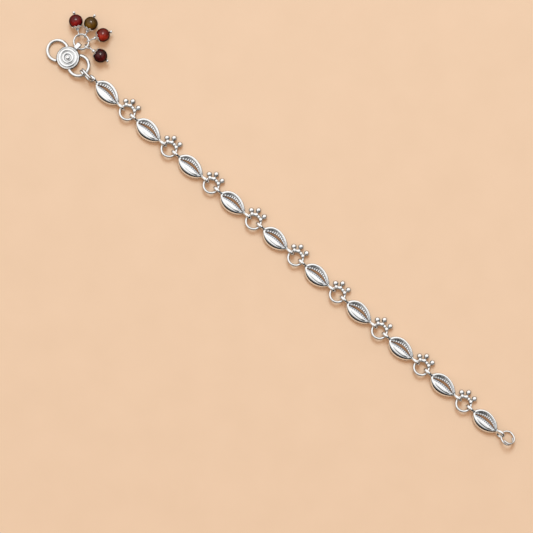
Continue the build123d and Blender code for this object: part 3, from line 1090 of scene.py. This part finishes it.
def add_s_hook(material):
    """Disc, S of wire and bail, soldered into one."""
    wire_points, wire_faces = tube(hook_path(), HOOK_WIRE / 2)
    wire_points = wire_points + np.array((0, 0, HOOK_WIRE / 2))
    disc_points, disc_faces = turned(smooth_profile(DISC_PROFILE, per_span=2), DISC_STEPS)
    disc_points = disc_points + np.array((0, 0, DISC_BASE_Z))
    turn = np.array(rotation(z=HOOK_TURN).to_3x3())
    shells = [
        (disc_points @ turn.T, disc_faces),
        (wire_points @ turn.T, wire_faces),
        bail_mesh(),
    ]
    place = translation(HOOK_X, HOOK_Y, HOOK_LIFT) @ rotation(y=-HOOK_TILT)
    add_piece("soldered_s_hook", *fused("s_hook_union", shells), "s_hook", material, place)


# --- Lapped rings ---

def lapped_path(radius, straight, spacing):
    """Centre line of a wire ring whose ends lie side by side round the left arc."""
    rise = spacing / 2
    shift = straight / 2
    lapped = 270 - LAP_START
    reach = sqrt(radius**2 + rise**2)
    steps, run = 48, 6
    crossing = []
    for k in range(steps + 1):
        a = radians(-90 + 180 * k / steps)
        crossing.append((shift + reach * cos(a), radius * sin(a), -rise * sin(a)))
    upper = arc((-shift, 0, rise), radius, LAP_START, lapped, steps)
    lower = arc((-shift, 0, -rise), radius, 90, lapped, steps)
    return upper + line(upper[-1], crossing[0], run) + crossing + line(crossing[-1], lower[0], run) + lower


def add_lapped_ring(node, sizes, turn, x, y, material):
    """Wire ring turned by a matrix, with its lowest point just above the floor."""
    radius, straight, spacing, wire = sizes
    mesh = tube(lapped_path(radius, straight, spacing), wire / 2)
    low = (mesh[0] @ np.array(turn.to_3x3()).T)[:, 2].min()
    place = translation(x, y, CLEARANCE / 2 - low) @ turn
    add_piece(f"{node}_wire", *mesh, node, material, place)


def add_lapped_rings(material):
    """Upright ring between S-hook and first cowrie, and slanted ring through the last cowrie's loop."""
    upright = rotation(z=HOOK_RING_YAW) @ rotation(x=90 - HOOK_RING_LEAN)
    add_lapped_ring("hook_ring", HOOK_RING, upright, HOOK_RING_X, HOOK_RING_Y, material)
    slanted = rotation(x=END_RING_SLOPE) @ rotation(z=END_RING_TURN)
    x = (LINK_COUNT - 1) * LINK_PITCH + END_RING_X
    add_lapped_ring("end_ring", END_RING, slanted, x, END_RING_Y, material)


# --- Charms ---

def charm_place(angle, bead_at):
    """Matrix whose Z runs from the charm ring along the pin, and the distance to the bead."""
    x, y, z = CHARM_RING_PLACE
    across, up, _ = polar(angle, CHARM_RING_RADIUS)
    start = Vector((x + across, y + up, z))
    bead = Vector((*bead_at, BEAD_RADIUS + CLEARANCE / 2))
    along = (bead - start).normalized()
    level = Vector((-along.y, along.x, 0)).normalized()
    side = along.cross(level)
    matrix = Matrix((level, side, along)).transposed().to_4x4()
    matrix.translation = start
    return matrix, (bead - start).length


def bead_mesh(reach):
    """Round bead with a drilled hole whose edges are softened."""
    hole = BEAD_HOLE / 2
    mouth = hole + HOLE_EASE
    top = sqrt(BEAD_RADIUS**2 - mouth**2)
    start = degrees(atan2(-top, mouth))
    profile = [(r, h) for r, h, _ in arc((0, 0, 0), BEAD_RADIUS, start, -2 * start, BEAD_ROWS)]
    edge = [(hole + out, top - down) for out, down in HOLE_EDGE]
    profile += edge + [(hole, 0.0)] + [(r, -h) for r, h in reversed(edge)]
    points = np.array(circles([(r, h + reach) for r, h in profile], BEAD_STEPS))
    return points, outward(points, band_faces(len(profile), BEAD_STEPS))


def cap_arc(radius, start, end, count):
    """(radius, depth) points on a circle round the bead's middle, between two angles from the pin."""
    angles = [radians(start + (end - start) * k / (count - 1)) for k in range(count)]
    return [(radius * sin(a), radius * cos(a)) for a in angles]


def cap_profile(seat, back):
    """Closed section of the cap: neck, bell, then its inside from the mouth up to the hole."""
    hole = BEAD_HOLE / 2
    neck = [(CAP_NECK_RADIUS - CAP_NECK_ROUND, CAP_NECK_REACH),
            (CAP_NECK_RADIUS, CAP_NECK_REACH - CAP_NECK_ROUND)]
    bell = [*neck, *CAP_BELL, *cap_arc(back, CAP_BELL_ANGLE, CAP_MOUTH_ANGLE, count=5)]
    profile = [tuple(p) for p in smooth_profile(bell, per_span=4)]
    profile += cap_arc(seat, CAP_MOUTH_ANGLE, CAP_HOLE_ANGLE, count=19)
    bore = [(hole, seat * BORE_START), (hole, CAP_NECK_REACH - BORE_DOWN), (hole + BORE_OUT, CAP_NECK_REACH)]
    return profile + bore


def cap_mesh(reach):
    """Flared cap of pressed petals, seated on the bead's near side."""
    seat = BEAD_RADIUS + CAP_GAP
    back = seat + CAP_WALL
    mouth = back * sin(radians(CAP_MOUTH_ANGLE))
    profile = cap_profile(seat, back)
    points = []
    for radius, depth in profile:
        off_seat = radius**2 + depth**2 > (seat + SEAT_MARGIN) ** 2
        outside = off_seat and radius > CAP_NECK_RADIUS - NECK_MARGIN
        share = np.clip((radius - PETAL_START) / (mouth - PETAL_START), 0, 1)
        for k in range(CAP_STEPS):
            a = 2 * pi * k / CAP_STEPS
            crease = abs(cos(a * CAP_PETALS / 2)) ** CREASE_SHARPNESS
            pull = CAP_NOTCH * crease * share**2
            flare = CAP_FLARE * (1 - crease) * share**3 - CREASE_DEPTH * crease * share
            wide = radius + (flare if outside else 0.0)
            points.append((wide * cos(a), wide * sin(a), reach - depth - pull))
    points = np.array(points)
    return points, outward(points, band_faces(len(profile), CAP_STEPS))


def pin_field(reach, eye_radius, eye_lean):
    """Head pin: eye, shank and ball tip."""
    def field(points):
        normal = (cos(radians(eye_lean)), sin(radians(eye_lean)), 0)
        eye = ring(points, (0, 0, EYE_OFFSET), normal, eye_radius, PIN_WIRE)
        tip = reach + PIN_BALL_REACH
        shank = rod(points, (0, 0, EYE_OFFSET + eye_radius), (0, 0, tip), PIN_WIRE)
        head = ball(points, (0, 0, tip), PIN_BALL_RADIUS)
        return smooth_union(smooth_union(eye, shank, PIN_FILLET), head, BALL_FILLET)
    return field


def pin_mesh(reach, eye_radius, eye_lean):
    wide = eye_radius + PIN_WIRE / 2
    low, high = (-wide, -wide, -wide), (wide, wide, reach + PIN_BALL_REACH + PIN_BALL_RADIUS)
    return surface(pin_field(reach, eye_radius, eye_lean), low, high, PIN_STEP)


def add_charm_ring(material):
    turn = 360 * (CHARM_RING_STEPS - 1) / CHARM_RING_STEPS
    path = arc((0, 0, 0), CHARM_RING_RADIUS, 0, turn, CHARM_RING_STEPS)
    mesh = tube(path, CHARM_RING_WIRE / 2, closed=True, sides=CHARM_RING_SIDES)
    add_piece("charm_ring_wire", *mesh, "charm_ring", material, translation(*CHARM_RING_PLACE))


def add_charms(material, stones):
    """Four charms, each a stone bead with its cap on a pin."""
    for number, (charm, (slot, stone)) in enumerate(zip(CHARMS, stones), start=1):
        angle, bead_at, eye_radius, eye_lean = charm
        place, reach = charm_place(angle, bead_at)
        pin = pin_mesh(reach, eye_radius, eye_lean)
        add_piece(f"stone_bead_{number}", *bead_mesh(reach), f"bead_{number}", stone, place, slot)
        add_piece(f"petal_cap_{number}", *cap_mesh(reach), f"bead_cap_{number}", material, place)
        add_piece(f"ball_pin_{number}", *pin, f"head_pin_{number}", material, place)


# --- Stage ---

def add_floor():
    mesh = bpy.data.meshes.new("floor")
    corners = [(x * FLOOR_HALF, y * FLOOR_HALF, 0) for x, y in ((-1, -1), (1, -1), (1, 1), (-1, 1))]
    mesh.from_pydata(corners, [], [(0, 1, 2, 3)])
    floor = bpy.data.objects.new("floor", mesh)
    bpy.context.collection.objects.link(floor)
    floor.location = (0, 0, -FLOOR_DROP)
    mesh.materials.append(floor_material())


def add_camera():
    data = bpy.data.cameras.new("camera")
    camera = bpy.data.objects.new("camera", data)
    bpy.context.collection.objects.link(camera)
    data.sensor_width = SENSOR_WIDTH
    data.lens = SENSOR_WIDTH * CAMERA_HEIGHT / VIEW_WIDTH
    data.clip_start = 0.05
    data.clip_end = 10.0
    camera.location = (ORIGIN + Vector((VIEW_X, VIEW_Y, CAMERA_HEIGHT))) * MM
    camera.rotation_euler = (0, 0, radians(VIEW_ROLL))
    bpy.context.scene.camera = camera


def add_studio():
    """Surround that is white overhead and towards -X and +Y, dark low down, and where a head leans in."""
    world = bpy.data.worlds.new("studio")
    bpy.context.scene.world = world
    world.use_nodes = True
    nodes = Nodes(world.node_tree)
    direction = nodes.add("ShaderNodeTexCoord").outputs["Generated"]
    toward = compared(nodes, "DOT_PRODUCT", direction, STUDIO_AXIS)
    stops = [(cos(radians(angle)), (value, value, value)) for angle, value in STUDIO_STOPS]
    sky = ramp(nodes, toward, stops, "EASE")
    apart = compared(nodes, "DISTANCE", direction, HEAD_DIRECTION)
    shade = graded(nodes, apart, HEAD_SPAN, (HEAD_SHADE, 1.0))
    background = world.node_tree.nodes["Background"]
    nodes.feed(background, {"Color": scaled(nodes, sky, shade), "Strength": STUDIO_STRENGTH})


def add_lights():
    """Disk lights that face the anklet: board and beads take the diffuse ones, beads mirror the last."""
    stones = bpy.data.collections.new("stones")
    for piece in bpy.context.scene.objects:
        if piece.name.startswith("stone_bead"):
            stones.objects.link(piece)
    for name, direction, distance, size, radiance, colour, kind in LIGHTS:
        data = bpy.data.lights.new(name, "AREA")
        data.shape = "DISK"
        data.size = size
        data.energy = radiance * pi * pi * (size / 2) ** 2
        data.color = colour
        light = bpy.data.objects.new(name, data)
        bpy.context.collection.objects.link(light)
        light.location = Vector(direction).normalized() * distance
        light.rotation_euler = Vector(direction).to_track_quat("Z", "Y").to_euler()
        light.visible_glossy = kind == "glossy"
        light.visible_diffuse = kind == "diffuse"
        if kind == "glossy":
            light.light_linking.receiver_collection = stones


def main():
    cast = silver_material("cast_silver", CAST_FLANK_SHADE, POLISHED)
    silver = silver_material("wire_silver", WIRE_FLANK_SHADE, POLISHED)
    satin = silver_material("satin_silver", SATIN_FLANK_SHADE, SATIN)
    stones = (
        ("bead_dark_red", stone_material("dark_red_stone", *DARK_RED)),
        ("bead_olive_brown", stone_material("olive_brown_stone", *OLIVE_BROWN)),
        ("bead_brick_red", stone_material("brick_red_stone", *BRICK_RED)),
        ("bead_maroon", stone_material("maroon_stone", *MAROON)),
    )
    add_cowries(cast)
    add_flower_rings(silver)
    add_s_hook(silver)
    add_lapped_rings(silver)
    add_charm_ring(silver)
    add_charms(satin, stones)
    add_floor()
    add_camera()
    add_studio()
    add_lights()
    bpy.context.scene.view_settings.view_transform = "Standard"


main()
